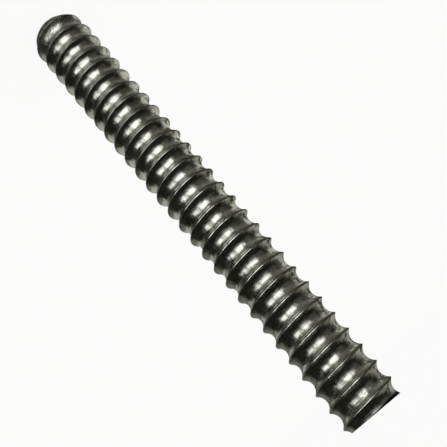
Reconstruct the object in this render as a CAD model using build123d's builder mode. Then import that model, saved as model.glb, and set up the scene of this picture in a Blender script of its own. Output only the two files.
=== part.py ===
from build123d import *
from math import ceil, sqrt
import os

# Coil-threaded steel rod: one rolled bar with a coarse, round-bottomed, right-handed thread.
#
# The rod stands on its chamfered lead-in end. The origin is the centre of that end's flat face,
# +Z runs up the axis to the square-cut end, and -Y is the front. All lengths are millimetres.

os.makedirs("parts", exist_ok=True)

# ---- driving dimensions ----------------------------------------------------------------
rod_length = 159.5
major_diameter = 19.05  # over the crests
turns_per_inch = 4.5
groove_depth = 1.45  # from the crest down to the bottom of the groove
flank_share = 0.69  # of the groove's depth that its two steep outer flats take
front_crest_drop = 3.3  # from the square-cut end down to the first crest on the front side

end_face_diameter = 12.6  # flat face that the lead-in chamfer leaves
chamfer_height = 3.6  # from that face up to where the chamfer runs out at the crests

# ---- what follows from them --------------------------------------------------------------
inch = 25.4
thread_pitch = inch / turns_per_inch
crest_radius = major_diameter / 2
root_radius = crest_radius - groove_depth
arc_radius = ((thread_pitch / 2) ** 2 + groove_depth**2) / (2 * groove_depth)

# Height at which one crest passes the +X side, a quarter turn past the front. The raw bar
# starts whole turns below it, clear of the lower end, and runs on clear of the upper end.
crest_at_side = rod_length - front_crest_drop + thread_pitch / 4
raw_start = crest_at_side - thread_pitch * (ceil(crest_at_side / thread_pitch) + 1)
raw_turns = ceil((rod_length - raw_start) / thread_pitch) + 1


def arc_half_width(depth):
    """Half the width of the groove's arc, that far below the crests."""
    return sqrt(arc_radius**2 - (arc_radius - groove_depth + depth) ** 2)


def groove_profile():
    """Radius and height of the groove's corners over one pitch, from crest to crest.

    The groove is a circular arc. Four flats, with their corners on that arc, stand for it:
    two steep ones down from the crests, and two shallow ones that meet at the bottom.
    """
    knee_depth = flank_share * groove_depth
    knee_radius = crest_radius - knee_depth
    knee_width = arc_half_width(knee_depth)
    middle = thread_pitch / 2
    return [
        (crest_radius, 0),
        (knee_radius, middle - knee_width),
        (root_radius, middle),
        (knee_radius, middle + knee_width),
        (crest_radius, thread_pitch),
    ]


def one_turn(radius, height):
    """One right-handed turn of a corner's helix, from the +X side."""
    return Edge.make_helix(thread_pitch, thread_pitch, radius, center=(0, 0, height))


def thread_flats(profile):
    """The groove's flats, each wound once round the axis between the helices of two corners."""
    turns = [one_turn(radius, height) for radius, height in profile]
    return [Face.make_surface_from_curves(low, high) for low, high in zip(turns, turns[1:])]


def end_step(profile, height):
    """What closes the raw bar: a riser through the axis and one turn of a spiral step."""
    outline = [(radius, 0, height + rise) for radius, rise in profile]
    axis_low = (0, 0, height)
    axis_high = (0, 0, height + thread_pitch)
    riser = Face(Wire.make_polygon([axis_low, *outline, axis_high], close=True))
    axis = Edge.make_line(axis_low, axis_high)
    step = Face.make_surface_from_curves(axis, one_turn(crest_radius, height))
    return [riser, step]


def raw_threaded_bar():
    """A closed length of thread, longer than the rod at both ends."""
    profile = groove_profile()
    flats = thread_flats(profile)
    faces = []
    for turn in range(raw_turns):
        place = Pos(0, 0, raw_start + turn * thread_pitch)
        faces += [flat.moved(place) for flat in flats]
    faces += end_step(profile, raw_start)
    faces += end_step(profile, raw_start + raw_turns * thread_pitch)
    return Solid(Shell(faces))


# ---- the rod -----------------------------------------------------------------------------
raw_bar = raw_threaded_bar()

with BuildPart() as threaded_rod:
    add(raw_bar)

    # both ends cut square
    split(bisect_by=Plane.XY.offset(rod_length), keep=Keep.BOTTOM)
    split(bisect_by=Plane.XY, keep=Keep.TOP)

    # lead-in chamfer: what lies outside its cone is turned away
    with BuildSketch(Plane.XZ) as chamfer_waste:
        with BuildLine():
            Polyline(
                (end_face_diameter / 2, 0),
                (crest_radius, chamfer_height),
                (major_diameter, chamfer_height),
                (major_diameter, 0),
                close=True,
            )
        make_face()
    revolve(axis=Axis.Z, mode=Mode.SUBTRACT)

threaded_rod.part.label = "threaded_rod"
export_step(threaded_rod.part, "parts/threaded_rod.step")
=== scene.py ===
import math
from types import SimpleNamespace

import bmesh
import bpy
import numpy as np
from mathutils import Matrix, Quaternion, Vector, noise


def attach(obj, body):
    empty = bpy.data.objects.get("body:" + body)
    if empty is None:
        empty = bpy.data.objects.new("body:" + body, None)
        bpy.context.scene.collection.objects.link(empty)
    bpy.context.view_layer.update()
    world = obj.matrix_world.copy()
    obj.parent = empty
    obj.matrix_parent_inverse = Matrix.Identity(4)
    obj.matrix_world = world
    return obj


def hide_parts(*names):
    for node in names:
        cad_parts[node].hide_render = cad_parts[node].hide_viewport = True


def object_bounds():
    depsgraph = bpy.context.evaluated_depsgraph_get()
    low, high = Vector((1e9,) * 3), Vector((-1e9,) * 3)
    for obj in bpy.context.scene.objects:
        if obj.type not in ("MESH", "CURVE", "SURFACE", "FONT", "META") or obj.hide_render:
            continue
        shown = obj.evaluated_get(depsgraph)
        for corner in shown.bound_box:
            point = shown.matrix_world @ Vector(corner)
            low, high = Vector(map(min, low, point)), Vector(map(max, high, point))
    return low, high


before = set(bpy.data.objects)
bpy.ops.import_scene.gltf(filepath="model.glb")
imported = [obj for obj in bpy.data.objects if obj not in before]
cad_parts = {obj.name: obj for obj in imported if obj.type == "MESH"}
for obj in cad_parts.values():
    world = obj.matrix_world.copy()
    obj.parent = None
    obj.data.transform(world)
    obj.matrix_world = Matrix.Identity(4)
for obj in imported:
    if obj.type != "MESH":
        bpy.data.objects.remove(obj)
cad_low, cad_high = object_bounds()

# ---- driving sizes, in metres ------------------------------------------------------------
MM = 0.001
ROD_LENGTH = cad_high.z - cad_low.z
CREST_RADIUS = 9.515 * MM
PITCH = 25.4 * MM / 4.5
GROOVE_DEPTH = 1.45 * MM
CREST_LAND = 0.24 * MM  # width of the flat top that the rolls leave on the crest
CORNER_SOFTNESS = 0.045 * MM  # how far the land's edges are rounded over
FRONT_CREST_DROP = 3.3 * MM  # from the cut end down to the first crest on the front side

END_FACE_RADIUS = 6.3 * MM
LEAD_IN_HEIGHT = 3.9 * MM
LEAD_IN_CROWN = 0.35 * MM  # how far the lead-in bulges beyond a straight cone

SEGMENTS = 120  # round one turn
LAND_POINTS = 9  # across the land and its rounded edges
LAP_POINTS = 8  # across the fine laps that the rolls leave just under the crest
GROOVE_POINTS = 10  # across the rest of a pitch
LAPS = ((-0.62, 0.05, 0.022), (-1.0, 0.07, 0.016))  # offset, half width and height, in mm
LAP_REACH = 1.2 * MM

# height at which one crest passes the +X side, a quarter turn past the front
CREST_AT_SIDE = ROD_LENGTH - FRONT_CREST_DROP + PITCH / 4


# ---- the thread's form -------------------------------------------------------------------
def groove_depth_at(offset):
    """Depth below the crest, that far along the axis from the middle of a crest."""
    half_width = (PITCH - CREST_LAND) / 2
    radius = (half_width**2 + GROOVE_DEPTH**2) / (2 * GROOVE_DEPTH)
    from_middle = np.abs(np.abs(offset) - PITCH / 2)
    inside = np.minimum(from_middle, half_width)
    return np.maximum(GROOVE_DEPTH - radius + np.sqrt(radius**2 - inside**2), 0)


def thread_profile():
    """Offsets from the crest's middle over one pitch, and the softened depth at each."""
    land_reach = CREST_LAND / 2 + 3 * CORNER_SOFTNESS
    land = np.linspace(-land_reach, land_reach, LAND_POINTS)
    groove = np.linspace(land_reach, PITCH - LAP_REACH, GROOVE_POINTS + 1)[1:-1]
    laps = np.linspace(PITCH - LAP_REACH, PITCH - land_reach, LAP_POINTS + 1)[:-1]
    offsets = np.concatenate([land, groove, laps])
    spread = np.linspace(-3, 3, 25)
    weights = np.exp(-spread**2 / 2)
    around = offsets[:, None] + spread * CORNER_SOFTNESS
    around = (around + PITCH / 2) % PITCH - PITCH / 2
    depths = (groove_depth_at(around) * weights).sum(axis=1) / weights.sum()
    signed = (offsets + PITCH / 2) % PITCH - PITCH / 2
    for middle, half_width, height in LAPS:
        depths -= height * MM * np.exp(-(((signed / MM - middle) / half_width) ** 2))
    return offsets, depths


def lead_in_radius(height):
    """Radius of the crowned lead-in, that far above the end face."""
    share = np.clip(height / LEAD_IN_HEIGHT, 0, 1)
    cone = END_FACE_RADIUS + (CREST_RADIUS - END_FACE_RADIUS) * share
    crown = LEAD_IN_CROWN * 4 * share * (1 - share)
    return np.where(height < LEAD_IN_HEIGHT, cone + crown, 2 * CREST_RADIUS)


def soft_least(a, b, softness):
    """The smaller of two lengths, rounded over where they meet."""
    gap = np.clip((softness - np.abs(a - b)) / softness, 0, 1)
    return np.minimum(a, b) - gap**2 * softness / 4


def waviness(points):
    """Slight unevenness that the rolls leave in the surface, as an offset along the radius."""
    slow = np.array([noise.noise(Vector(p) / (4.2 * MM)) for p in points])
    quick = np.array([noise.noise(Vector(p) / (1.3 * MM) + Vector((7, 3, 1))) for p in points])
    return 0.026 * MM * slow + 0.006 * MM * quick


def nicks(points, count, seed, reach, depth, radius_from, radius_to):
    """Small dents scattered over the surface, as an offset along the radius."""
    random = np.random.default_rng(seed)
    radii = np.hypot(points[:, 0], points[:, 1])
    allowed = np.flatnonzero((radii > radius_from) & (radii < radius_to))
    dent = np.zeros(len(points))
    for centre in points[random.choice(allowed, count, replace=False)]:
        size = reach * random.uniform(0.5, 1.4)
        near = np.linalg.norm((points - centre) * random.uniform(0.5, 1.6, 3), axis=1)
        dent -= depth * random.uniform(0.4, 1.2) * np.exp(-((near / size) ** 2) * 3)
    return dent


def thread_grid():
    """Points of the thread, as [step round the helix, point across the pitch]."""
    offsets, depths = thread_profile()
    first = CREST_AT_SIDE - PITCH * (math.ceil(CREST_AT_SIDE / PITCH) + 1)
    turns = math.ceil((ROD_LENGTH - first) / PITCH) + 2
    steps = np.arange(turns * SEGMENTS + 1)
    angle = 2 * math.pi * steps / SEGMENTS
    height = first + PITCH * steps[:, None] / SEGMENTS + offsets
    radius = np.repeat((CREST_RADIUS - depths)[None, :], len(steps), axis=0)
    x = radius * np.cos(angle)[:, None]
    y = radius * np.sin(angle)[:, None]
    points = np.stack([x, y, height], axis=-1).reshape(-1, 3)
    kept = (points[:, 2] > -2 * PITCH) & (points[:, 2] < ROD_LENGTH + 2 * PITCH)
    change = np.zeros(len(points))
    change[kept] = waviness(points[kept])
    on_crests = (CREST_RADIUS - 0.1 * MM, CREST_RADIUS + MM)
    in_grooves = (0, CREST_RADIUS - 0.3 * MM)
    change += nicks(points, 60, 11, 0.55 * MM, 0.10 * MM, *on_crests)
    change += nicks(points, 90, 23, 0.60 * MM, 0.035 * MM, *in_grooves)
    flat_radius = np.hypot(points[:, 0], points[:, 1])
    new_radius = flat_radius + np.minimum(change, CREST_RADIUS - flat_radius)
    new_radius = soft_least(new_radius, lead_in_radius(points[:, 2]), 0.25 * MM)
    points[:, :2] *= (new_radius / flat_radius)[:, None]
    return points.reshape(len(steps), len(offsets), 3)


def grid_faces(steps, across):
    """Four-sided faces of the grid. The last point of a pitch joins the first of the next turn."""
    faces = []
    for step in range(steps - SEGMENTS - 1):
        for point in range(across):
            low = step * across + point
            last = point == across - 1
            high = low + 1 if not last else (step + SEGMENTS) * across
            faces.append((low, low + across, high + across, high))
    return faces


def cut_flat(shape, point, outward, sawn):
    """Cuts the shape off at a plane and closes it with one flat face."""
    parts = shape.verts[:] + shape.edges[:] + shape.faces[:]
    made = bmesh.ops.bisect_plane(
        shape, geom=parts, dist=1e-7, plane_co=point, plane_no=outward, clear_outer=True
    )
    rim = [item for item in made["geom_cut"] if isinstance(item, bmesh.types.BMEdge)]
    closed = bmesh.ops.edgeloop_fill(shape, edges=rim)
    for edge in rim:
        edge.smooth = False
    for face in closed["faces"]:
        face.smooth = False
        face.material_index = 1 if sawn else 0


def build_rod():
    grid = thread_grid()
    steps, across = grid.shape[:2]
    mesh = bpy.data.meshes.new("coil_rod")
    mesh.from_pydata(grid.reshape(-1, 3).tolist(), [], grid_faces(steps, across))
    shape = bmesh.new()
    shape.from_mesh(mesh)
    loose = [vertex for vertex in shape.verts if not vertex.link_faces]
    bmesh.ops.delete(shape, geom=loose, context="VERTS")
    for face in shape.faces:
        face.smooth = True
    cut_flat(shape, (0, 0, 0), (0, 0, -1), sawn=False)
    cut_flat(shape, (0, 0, ROD_LENGTH), (0, 0, 1), sawn=True)
    bmesh.ops.recalc_face_normals(shape, faces=shape.faces)
    shape.to_mesh(mesh)
    shape.free()
    rod = bpy.data.objects.new("coil_rod", mesh)
    bpy.context.scene.collection.objects.link(rod)
    return rod


# ---- node helpers ------------------------------------------------------------------------
class Nodes:
    """A short way to write node trees: most calls add one node and return its output."""

    def __init__(self, tree):
        self.tree = tree
        self.tree.nodes.clear()

    def add(self, kind, **settings):
        node = self.tree.nodes.new(kind)
        for name, value in settings.items():
            setattr(node, name, value)
        return node

    def feed(self, socket, value):
        if isinstance(value, bpy.types.NodeSocket):
            self.tree.links.new(value, socket)
        else:
            socket.default_value = value

    def math(self, operation, a, b=0.0, c=0.0):
        node = self.add("ShaderNodeMath", operation=operation)
        for socket, value in zip(node.inputs, (a, b, c)):
            self.feed(socket, value)
        return node.outputs[0]

    def split(self, vector):
        node = self.add("ShaderNodeSeparateXYZ")
        self.feed(node.inputs[0], vector)
        return node.outputs

    def join(self, x, y, z):
        node = self.add("ShaderNodeCombineXYZ")
        for socket, value in zip(node.inputs, (x, y, z)):
            self.feed(socket, value)
        return node.outputs[0]

    def noise(self, vector, scale, detail=2.0, roughness=0.5, w=None):
        node = self.add("ShaderNodeTexNoise", noise_dimensions="3D" if w is None else "4D")
        self.feed(node.inputs["Vector"], vector)
        if w is not None:
            self.feed(node.inputs["W"], w)
        node.inputs["Scale"].default_value = scale
        node.inputs["Detail"].default_value = detail
        node.inputs["Roughness"].default_value = roughness
        return node.outputs[0]

    def remap(self, value, low, high, to_low=0.0, to_high=1.0, smooth=False):
        kind = "SMOOTHSTEP" if smooth else "LINEAR"
        node = self.add("ShaderNodeMapRange", interpolation_type=kind)
        for socket, given in zip(node.inputs, (value, low, high, to_low, to_high)):
            self.feed(socket, given)
        return node.outputs[0]

    def mix(self, share, a, b):
        node = self.add("ShaderNodeMix", data_type="RGBA")
        self.feed(node.inputs[0], share)
        self.feed(node.inputs[6], a)
        self.feed(node.inputs[7], b)
        return node.outputs[2]


def soft_span(nodes, value, low_out, low_in, high_in, high_out):
    """1 between the inner limits, 0 outside the outer ones."""
    rising = nodes.remap(value, low_out, low_in, smooth=True)
    return nodes.math("MULTIPLY", rising, nodes.remap(value, high_out, high_in, smooth=True))


# ---- materials ---------------------------------------------------------------------------
BRIGHT_STEEL = (0.59, 0.59, 0.545, 1)
DULL_STEEL = (0.41, 0.41, 0.345, 1)
BROWN_FILM = (0.25, 0.175, 0.13, 1)
# brighter than polished steel reflects: real polish and a painted highlight along the crests
POLISHED_AND_HIGHLIGHT = (0.86, 0.86, 0.81, 1)
# colour of the grime, and also of the painted shade under each crest
GRIME_AND_SHADE = (0.06, 0.063, 0.038, 1)
DARK_SCALE = (0.15, 0.155, 0.11, 1)
PALE_SCALE = (0.62, 0.61, 0.57, 1)
# a near-black band along the rim of the cut
RIM_BLACK = (0.008, 0.008, 0.007, 1)
SAWN_STEEL = (0.16, 0.155, 0.15, 1)
SAWN_STAIN = (0.05, 0.045, 0.04, 1)
WET_SIDE = (-0.94, 0.34)  # x and y of the direction that the wet side faces


def thread_phase(nodes, x, y, z):
    """Where a point lies across the pitch: 0 and 1 on the crests, 0.5 in the groove's middle."""
    turn = nodes.math("DIVIDE", nodes.math("ARCTAN2", y, x), 2 * math.pi)
    rise = nodes.math("DIVIDE", nodes.math("SUBTRACT", z, CREST_AT_SIDE), PITCH)
    return nodes.math("FRACT", nodes.math("SUBTRACT", rise, turn))


def bump(nodes, height, depth, below=None):
    """Relief of the given depth. Another bump may lie beneath it."""
    node = nodes.add("ShaderNodeBump")
    node.inputs["Strength"].default_value = 1.0
    node.inputs["Distance"].default_value = depth
    nodes.feed(node.inputs["Height"], height)
    if below is not None:
        nodes.feed(node.inputs["Normal"], below)
    return node.outputs[0]


def metal(nodes, colour, roughness, normal, metallic=1.0, edge_tint=(1, 1, 1, 1)):
    shader = nodes.add("ShaderNodeBsdfPrincipled")
    nodes.feed(shader.inputs["Metallic"], metallic)
    nodes.feed(shader.inputs["Specular Tint"], edge_tint)
    nodes.feed(shader.inputs["Base Color"], colour)
    nodes.feed(shader.inputs["Roughness"], roughness)
    nodes.feed(shader.inputs["Normal"], normal)
    output = nodes.add("ShaderNodeOutputMaterial")
    nodes.feed(output.inputs["Surface"], shader.outputs[0])


def streaks_along_thread(nodes, place, phase, length, width):
    """Noise drawn out along the thread, as the rolls drag the surface."""
    x, y, z = nodes.split(place)
    phase_angle = nodes.math("MULTIPLY", phase, 2 * math.pi)
    round_size = PITCH / (2 * math.pi) / width
    streak_place = nodes.join(
        nodes.math("MULTIPLY", nodes.math("COSINE", phase_angle), round_size),
        nodes.math("MULTIPLY", nodes.math("SINE", phase_angle), round_size),
        nodes.math("DIVIDE", x, length),
    )
    streak_w = nodes.math("DIVIDE", nodes.math("ADD", y, z), length)
    return nodes.noise(streak_place, 1.0, detail=3.0, roughness=0.6, w=streak_w)


def marks_on_steel(nodes):
    """The places, noises and regions of the rod's surface that its colour and relief share."""
    at = SimpleNamespace()
    at.place = nodes.add("ShaderNodeTexCoord").outputs["Object"]
    at.x, at.y, at.z = nodes.split(at.place)
    at.phase = thread_phase(nodes, at.x, at.y, at.z)
    at.streaks = streaks_along_thread(nodes, at.place, at.phase, 3 * MM, 0.22 * MM)
    at.scratches = streaks_along_thread(nodes, at.place, at.phase, 1.6 * MM, 0.09 * MM)
    at.patches = nodes.noise(at.place, 1 / (6 * MM), detail=3.0, roughness=0.6)
    at.mottling = nodes.noise(at.place, 1 / (2.2 * MM), detail=3.0, roughness=0.6)
    at.grain = nodes.noise(at.place, 1 / (0.6 * MM), detail=2.0, roughness=0.6)
    ragged = nodes.remap(at.mottling, 0.3, 0.7, -1.5 * MM, 1.5 * MM)
    at.ragged_z = nodes.math("ADD", at.z, ragged)
    at.lead_in = nodes.remap(at.ragged_z, 8.0 * MM, 4.5 * MM, smooth=True)
    half_turned = nodes.math("FRACT", nodes.math("ADD", at.phase, 0.5))
    at.from_crest = nodes.math("SUBTRACT", half_turned, 0.5)
    at.film = nodes.remap(at.patches, 0.40, 0.62, smooth=True)

    # one side has lain in the wet: dull, spotted, and brown towards the lead-in end
    at.side = nodes.math(
        "ADD",
        nodes.math("MULTIPLY", at.x, WET_SIDE[0]),
        nodes.math("MULTIPLY", at.y, WET_SIDE[1]),
    )
    spotted = nodes.remap(at.side, 1.0 * MM, 6.0 * MM, 0.2, 1.0, smooth=True)
    away_from_lead_in = nodes.remap(at.z, 10 * MM, 60 * MM, 0.45, 1.0)
    at.spotted = nodes.math("MULTIPLY", spotted, away_from_lead_in)
    # the wall under each crest faces down; painted shade is laid on it
    at.wall_under_crest = soft_span(nodes, at.phase, 0.56, 0.70, 0.91, 0.975)

    # bare scratches round the lead-in
    scraped = nodes.math("ADD", at.scratches, nodes.math("MULTIPLY", at.grain, 0.5))
    bare = nodes.remap(scraped, 0.80, 0.86, smooth=True)
    at.bare = nodes.math("MULTIPLY", bare, nodes.remap(at.ragged_z, 16 * MM, 4 * MM))
    return at


def clean_colour(nodes, at):
    """Clean metal: filmed in patches, pale and brown on the wet side, polished on the crests, which
    are also painted brighter than steel as a highlight.
    """
    colour = nodes.mix(nodes.math("MULTIPLY", at.film, 0.35), BRIGHT_STEEL, DULL_STEEL)
    pale = nodes.remap(at.mottling, 0.45, 0.38, smooth=True)
    pale = nodes.math("MULTIPLY", pale, at.spotted)
    colour = nodes.mix(nodes.math("MULTIPLY", pale, 0.7), colour, PALE_SCALE)

    brown_noise = nodes.noise(at.place, 1 / (5 * MM), detail=3.0)
    brown = nodes.remap(brown_noise, 0.47, 0.62, smooth=True)
    brown = nodes.math("MULTIPLY", brown, nodes.remap(at.z, 110 * MM, 25 * MM, 0.25, 0.9))
    brown_strip = soft_span(nodes, at.side, -1 * MM, 1 * MM, 3.2 * MM, 5.5 * MM)
    colour = nodes.mix(nodes.math("MULTIPLY", brown, brown_strip), colour, BROWN_FILM)

    fine_marks = nodes.remap(at.scratches, 0.54, 0.64, smooth=True)
    colour = nodes.mix(nodes.math("MULTIPLY", fine_marks, 0.35), colour, DARK_SCALE)

    # painted highlight: the crest land is made brighter than steel where its highlight shows, less
    # towards the lead-in and off the wet side
    polish_and_highlight = soft_span(nodes, at.from_crest, -0.035, -0.025, 0.03, 0.045)
    off_wet_side = nodes.remap(at.side, 1.2 * MM, -1.5 * MM, 0.0, 0.9)
    polish_and_highlight = nodes.math("MULTIPLY", polish_and_highlight, off_wet_side)
    dashes = nodes.remap(at.streaks, 0.38, 0.52, smooth=True)
    unbroken = nodes.remap(at.z, 25 * MM, 75 * MM, 0.0, 0.8)
    polish_and_highlight = nodes.math("MULTIPLY", polish_and_highlight, nodes.math("MAXIMUM", dashes, unbroken))
    return nodes.mix(polish_and_highlight, colour, POLISHED_AND_HIGHLIGHT)


def spots_smears_and_shade(nodes, at):
    """Dark spots, most on the wet side, and streaks, laid on thickest on the down-facing wall under
    each crest as painted shade.
    """
    fine = nodes.math("MULTIPLY", at.grain, 0.3)
    spots = nodes.remap(nodes.math("ADD", at.mottling, fine), 0.65, 0.71, smooth=True)
    spot_share = nodes.remap(at.spotted, 0.2, 1.0, 0.12, 0.85)
    smears = nodes.remap(nodes.math("ADD", at.streaks, fine), 0.61, 0.72, smooth=True)
    # painted shade: more and darker smears on the down-facing wall under each crest
    smear_and_shade_share = nodes.remap(at.wall_under_crest, 0, 1, 0.10, 0.70)
    return nodes.math(
        "MAXIMUM",
        nodes.math("MULTIPLY", spots, spot_share),
        nodes.math("MULTIPLY", smears, smear_and_shade_share),
    )


def dirt_and_shade_by_crests(nodes, at):
    """Painted shade in the corner under each crest, grime in dashes along the crest, and grime on
    it on the wet side.
    """
    # painted shade: a dark line in the corner under each crest
    under_crest = soft_span(nodes, at.phase, 0.875, 0.925, 0.962, 0.985)
    shade_under_share = nodes.remap(at.patches, 0.30, 0.62, 0.55, 0.95)
    under_crest = nodes.math("MULTIPLY", under_crest, shade_under_share)

    broken = nodes.math("ADD", at.scratches, nodes.math("MULTIPLY", at.mottling, 0.4))
    dashes = nodes.remap(broken, 0.61, 0.71, smooth=True)
    dashes = nodes.math("MULTIPLY", dashes, nodes.remap(at.z, 90 * MM, 15 * MM, 0.1, 0.9))
    by_crest = soft_span(nodes, at.from_crest, -0.16, -0.08, 0.03, 0.06)
    dashes = nodes.math("MULTIPLY", dashes, by_crest)

    on_crest = soft_span(nodes, at.from_crest, -0.05, -0.03, 0.03, 0.055)
    wet_share = nodes.remap(at.side, -0.5 * MM, 2 * MM, 0.0, 0.9)
    on_crest = nodes.math("MULTIPLY", on_crest, wet_share)
    away_share = nodes.remap(at.z, 15 * MM, 60 * MM, 0.3, 1.0)
    on_crest = nodes.math("MULTIPLY", on_crest, away_share)
    return nodes.math("MAXIMUM", nodes.math("MAXIMUM", under_crest, dashes), on_crest)


def dirt_at_ends(nodes, at):
    """Crusts on the lead-in, and darkening near the cut on the -X side."""
    crusts = nodes.math("ADD", at.mottling, at.grain)
    crusts = nodes.remap(crusts, 0.93, 1.03, 0.1, 0.9, smooth=True)
    # darker within two millimetres of the cut, on the -X side
    near_cut = nodes.remap(at.z, ROD_LENGTH - 2.0 * MM, ROD_LENGTH - 0.6 * MM)
    dark_by_cut = nodes.math("MULTIPLY", near_cut, nodes.remap(at.x, -1.5 * MM, -5 * MM))
    return nodes.math(
        "MAXIMUM",
        nodes.math("MULTIPLY", at.lead_in, crusts),
        nodes.math("MULTIPLY", dark_by_cut, 0.7),
    )


def black_band_at_cut(nodes, at):
    """1 on a black band along the rim of the cut, which is deepest on the -X side."""
    depth = nodes.remap(at.x, 2 * MM, -9 * MM, 0.10 * MM, 1.05 * MM)
    below_cut = nodes.math("SUBTRACT", ROD_LENGTH, at.z)
    past_rim = nodes.math("SUBTRACT", below_cut, depth)
    return nodes.remap(past_rim, 0.08 * MM, -0.04 * MM, smooth=True)


def steel_relief(nodes, at):
    """Dents, streaks, scratches and, round the lead-in, heaped crusts."""
    dents = nodes.noise(at.place, 1 / (2.2 * MM), detail=1.0, roughness=0.5)
    heap_share = nodes.math("ADD", nodes.math("MULTIPLY", at.lead_in, 7.0), 1.0)
    heaps = nodes.math("MULTIPLY", at.grain, heap_share)
    relief = bump(nodes, dents, 0.20 * MM)
    relief = bump(nodes, at.streaks, 0.03 * MM, below=relief)
    relief = bump(nodes, at.scratches, 0.008 * MM, below=relief)
    return bump(nodes, heaps, 0.016 * MM, below=relief)


def rolled_steel():
    """Bright steel as rolled: streaked along the thread, mottled, oily and here and there brown,
    with painted shade under the crests and a painted highlight on them.
    """
    material = bpy.data.materials.new("rolled_steel")
    material.use_nodes = True
    nodes = Nodes(material.node_tree)
    at = marks_on_steel(nodes)
    # the dark mix holds real dirt and also painted shade under the crests
    dirt_and_shade = nodes.math("MAXIMUM", spots_smears_and_shade(nodes, at), dirt_and_shade_by_crests(nodes, at))
    dirt_and_shade = nodes.math("MAXIMUM", dirt_and_shade, dirt_at_ends(nodes, at))
    dirt_and_shade = nodes.math("MULTIPLY", dirt_and_shade, nodes.math("SUBTRACT", 1.0, at.bare))
    colour = nodes.mix(dirt_and_shade, clean_colour(nodes, at), GRIME_AND_SHADE)
    # near-black band along the cut's rim, widest on the -X side
    black_band = black_band_at_cut(nodes, at)
    colour = nodes.mix(black_band, colour, RIM_BLACK)
    dirt_and_shade = nodes.math("MAXIMUM", dirt_and_shade, black_band)

    rough = nodes.remap(at.streaks, 0.3, 0.7, 0.08, 0.17)
    rough = nodes.math("ADD", nodes.math("MULTIPLY", at.film, 0.04), rough)
    rough = nodes.math("ADD", rough, nodes.math("MULTIPLY", dirt_and_shade, 0.35))
    rough = nodes.math("ADD", rough, nodes.math("MULTIPLY", at.bare, 0.4))
    # dirt and the painted shade are matt: they don't shine at a low angle as bare steel does
    metallic = nodes.remap(dirt_and_shade, 0, 1, 1.0, 0.7)
    edge_tint = nodes.mix(dirt_and_shade, (1, 1, 1, 1), (0.03, 0.03, 0.03, 1))
    metal(nodes, colour, rough, steel_relief(nodes, at), metallic, edge_tint)
    return material


def sawn_steel():
    material = bpy.data.materials.new("sawn_steel")
    material.use_nodes = True
    nodes = Nodes(material.node_tree)
    place = nodes.add("ShaderNodeTexCoord").outputs["Object"]
    x, y, _ = nodes.split(place)
    cut_place = nodes.join(
        nodes.math("MULTIPLY", x, 1 / (9 * MM)), nodes.math("MULTIPLY", y, 1 / (0.16 * MM)), 0.0
    )
    marks = nodes.noise(cut_place, 1.0, detail=3.0, roughness=0.6)
    stain = nodes.remap(nodes.noise(place, 1 / (5 * MM), detail=4.0), 0.45, 0.68, smooth=True)
    colour = nodes.mix(nodes.math("MULTIPLY", stain, 0.7), SAWN_STEEL, SAWN_STAIN)
    relief = bump(nodes, marks, 0.03 * MM)
    metal(nodes, colour, nodes.remap(marks, 0.3, 0.7, 0.35, 0.5), relief)
    return material


# ---- studio ------------------------------------------------------------------------------
FLOOR_RADIUS = 3.0
PALE = (0.965, 0.965, 0.96, 1)
WALL_TINT = (1, 1, 0.84, 1)
LAMP_TINT = (1, 1, 0.98, 1)


def pale_floor():
    bpy.ops.mesh.primitive_circle_add(vertices=96, radius=FLOOR_RADIUS, fill_type="NGON")
    floor = bpy.context.object
    floor.name = "floor"
    material = bpy.data.materials.new("pale_floor")
    material.use_nodes = True
    nodes = Nodes(material.node_tree)
    shader = nodes.add("ShaderNodeBsdfPrincipled")
    shader.inputs["Base Color"].default_value = (0.20, 0.20, 0.20, 1)
    shader.inputs["Roughness"].default_value = 1.0
    shader.inputs["Specular IOR Level"].default_value = 0.0
    shader.inputs["Emission Color"].default_value = PALE
    shader.inputs["Emission Strength"].default_value = 0.948
    output = nodes.add("ShaderNodeOutputMaterial")
    nodes.feed(output.inputs["Surface"], shader.outputs[0])
    floor.data.materials.append(material)
    # the rod mirrors the studio below, not the floor it stands on
    floor.visible_glossy = False
    floor.visible_shadow = False


def soft_box(nodes, azimuth, elevation, spans):
    """A soft-edged rectangle on the sky. spans holds its azimuths, then its elevations."""
    return nodes.math(
        "MULTIPLY",
        soft_span(nodes, azimuth, *spans[:4]),
        soft_span(nodes, elevation, *spans[4:]),
    )


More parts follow.
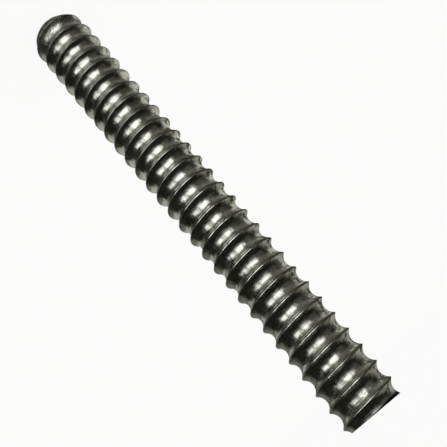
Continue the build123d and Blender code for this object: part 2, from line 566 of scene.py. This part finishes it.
def studio():
    """Soft boxes round a dark room. The camera itself sees only a pale backdrop."""
    world = bpy.data.worlds.new("studio")
    bpy.context.scene.world = world
    world.use_nodes = True
    nodes = Nodes(world.node_tree)
    dx, dy, dz = nodes.split(nodes.add("ShaderNodeTexCoord").outputs["Generated"])
    to_degrees = 180 / math.pi
    front = nodes.math("MULTIPLY", dy, -1)
    azimuth = nodes.math("MULTIPLY", nodes.math("ARCTAN2", dx, front), to_degrees)
    elevation = nodes.math("MULTIPLY", nodes.math("ARCSINE", dz), to_degrees)
    behind = nodes.math("ABSOLUTE", azimuth)

    # strength, and where each box lies in degrees; azimuth 0 is the front, minus is the -X side
    boxes = [
        (0.44, soft_box(nodes, azimuth, elevation, (-184, -150, -134, -88, -72, -44, 32, 76))),
        (0.22, soft_box(nodes, azimuth, elevation, (104, 140, 189, 190, -60, -32, 10, 44))),
        (0.13, soft_box(nodes, behind, elevation, (158, 176, 190, 191, -46, -22, -6, 12))),
        (0.10, nodes.remap(elevation, -58, -82, smooth=True)),
        (0.15, soft_box(nodes, azimuth, elevation, (-120, -95, -55, -35, -78, -58, -40, -20))),
        (0.08, soft_box(nodes, azimuth, elevation, (-88, -64, -48, -34, -50, -30, 8, 28))),
        (0.09, soft_box(nodes, azimuth, elevation, (-190, -189, -70, -40, -99, -98, -54, -40))),
    ]
    total = 0.013  # the dark room itself
    for strength, share in boxes:
        total = nodes.math("ADD", nodes.math("MULTIPLY", share, strength), total)

    tint = nodes.mix(nodes.math("MINIMUM", total, 1), WALL_TINT, LAMP_TINT)
    dark_room = nodes.add("ShaderNodeBackground")
    nodes.feed(dark_room.inputs["Color"], tint)
    nodes.feed(dark_room.inputs["Strength"], total)
    backdrop = nodes.add("ShaderNodeBackground")
    backdrop.inputs["Color"].default_value = PALE
    mixed = nodes.add("ShaderNodeMixShader")
    rays = nodes.add("ShaderNodeLightPath")
    nodes.feed(mixed.inputs[0], rays.outputs["Is Camera Ray"])
    nodes.feed(mixed.inputs[1], dark_room.outputs[0])
    nodes.feed(mixed.inputs[2], backdrop.outputs[0])
    output = nodes.add("ShaderNodeOutputWorld")
    nodes.feed(output.inputs["Surface"], mixed.outputs[0])


def key_light():
    """A wide, soft wall of light a foot and a half in front of the rod, with two bright lobes.

    It is brightest a little below the foot of the rod. Only the rod mirrors it.
    """
    away, low, high = 0.45, -1.3, 0.62
    light = bpy.data.lights.new("key", "AREA")
    light.shape = "RECTANGLE"
    light.size = 2.2
    light.size_y = high - low
    light.energy = 4 * light.size * light.size_y  # so that the nodes below set its brightness
    light.use_nodes = True
    nodes = Nodes(light.node_tree)
    px, py, pz = nodes.split(nodes.add("ShaderNodeNewGeometry").outputs["Position"])
    ahead = nodes.math("MULTIPLY", py, -1)
    azimuth = nodes.math("MULTIPLY", nodes.math("ARCTAN2", px, ahead), 180 / math.pi)
    middle_lobe = nodes.math("MULTIPLY", soft_span(nodes, azimuth, -44, -15, 5, 20), 1.92)
    right_lobe = nodes.math("MULTIPLY", soft_span(nodes, azimuth, 15, 30, 42, 56), 1.50)
    right_skirt = nodes.math("MULTIPLY", soft_span(nodes, azimuth, 30, 45, 52, 72), 0.10)
    lobes = nodes.math("ADD", nodes.math("ADD", middle_lobe, right_lobe), right_skirt)
    rise = nodes.math(
        "ADD",
        nodes.remap(pz, -0.58, -0.18, 0, 0.78, smooth=True),
        nodes.remap(pz, low, -0.5, 0, 0.22, smooth=True),
    )
    fall = nodes.math(
        "ADD",
        nodes.remap(pz, 0.25, -0.05, 0, 0.90, smooth=True),
        nodes.remap(pz, 0.52, 0.10, 0, 0.10, smooth=True),
    )
    emission = nodes.add("ShaderNodeEmission")
    emission.inputs["Color"].default_value = LAMP_TINT
    shape = nodes.math("MULTIPLY", rise, fall)
    nodes.feed(emission.inputs["Strength"], nodes.math("MULTIPLY", lobes, shape))
    output = nodes.add("ShaderNodeOutputLight")
    nodes.feed(output.inputs["Surface"], emission.outputs[0])
    lamp = bpy.data.objects.new("key", light)
    lamp.location = (0, -away, (low + high) / 2)
    lamp.rotation_euler = (math.pi / 2, 0, 0)
    lamp.visible_camera = False
    lamp.visible_diffuse = False
    bpy.context.scene.collection.objects.link(lamp)


def floor_light():
    """A weak, very wide overhead light that gives the floor a little direction."""
    light = bpy.data.lights.new("overhead", "SUN")
    light.energy = 0.7
    light.angle = math.radians(80)
    lamp = bpy.data.objects.new("overhead", light)
    lamp.rotation_euler = (math.radians(12), math.radians(-8), 0)
    lamp.visible_glossy = False
    bpy.context.scene.collection.objects.link(lamp)


def low_card(name, place, aim, size, power):
    """A soft card behind the foot of the rod, to one side. Only the rod mirrors it."""
    light = bpy.data.lights.new(name, "AREA")
    light.shape = "RECTANGLE"
    light.size, light.size_y = size
    light.energy = power
    light.color = (1, 1, 0.93)
    lamp = bpy.data.objects.new(name, light)
    lamp.location = place
    lamp.rotation_euler = (Vector(aim) - Vector(place)).to_track_quat("-Z", "Y").to_euler()
    lamp.visible_camera = False
    lamp.visible_diffuse = False
    bpy.context.scene.collection.objects.link(lamp)


def camera():
    place = Vector((2.7 * MM, -200.4 * MM, 158.75 * MM))
    target = Vector((-1.62 * MM, 0, 91.16 * MM))
    roll = math.radians(139.88)
    data = bpy.data.cameras.new("camera")
    data.lens = 57.42
    data.clip_start = 0.01
    data.clip_end = 10
    viewer = bpy.data.objects.new("camera", data)
    viewer.location = place
    viewer.rotation_mode = "QUATERNION"
    facing = (target - place).to_track_quat("-Z", "Y")
    viewer.rotation_quaternion = facing @ Quaternion((0, 0, 1), roll)
    bpy.context.scene.collection.objects.link(viewer)
    bpy.context.scene.camera = viewer


# ---- the scene ---------------------------------------------------------------------------
camera()
studio()
key_light()
floor_light()
low_card("left_card", (-0.11, 0.10, 0.01), (0, 0, 0.02), (0.16, 0.12), 0.018)
low_card("right_card", (0.10, 0.12, 0.01), (0, 0, 0.02), (0.14, 0.12), 0.018)
pale_floor()
bpy.context.scene.view_settings.view_transform = "Standard"

rod = build_rod()
rod.data.materials.append(rolled_steel())
rod.data.materials.append(sawn_steel())
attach(rod, "root")
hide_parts("threaded_rod")
